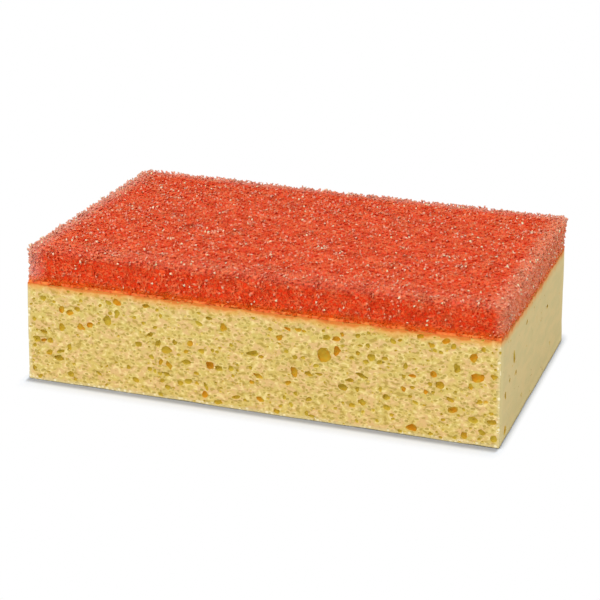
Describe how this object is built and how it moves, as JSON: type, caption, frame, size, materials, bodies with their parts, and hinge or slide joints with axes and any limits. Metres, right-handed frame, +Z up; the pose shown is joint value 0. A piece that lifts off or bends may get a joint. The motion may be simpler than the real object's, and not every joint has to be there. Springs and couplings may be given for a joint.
{
  "type": "epoxy grout sponge",
  "caption": "Rectangular sponge for wiping epoxy grout: a porous cellulose block with a coarse open foam scrubbing pad glued along its top.",
  "frame": {"origin": "middle of the underside of the cellulose block, which is the middle of the sponge in plan", "axes": "+X along the sponge's length, +Y along its width, +Z up through the foam pad"},
  "size_m": [0.16, 0.1, 0.0467],
  "materials": {
    "cellulose": "dry pale yellow cellulose sponge, matt, with pores of many sizes",
    "glue": "orange glue line, satin",
    "open_foam": "red open-celled polyurethane foam, its cut struts satin"
  },
  "bodies": {
    "root": {"cellulose_block": "cellulose", "glue_film": "glue", "scrub_foam": "open_foam"}
  },
  "joints": []
}
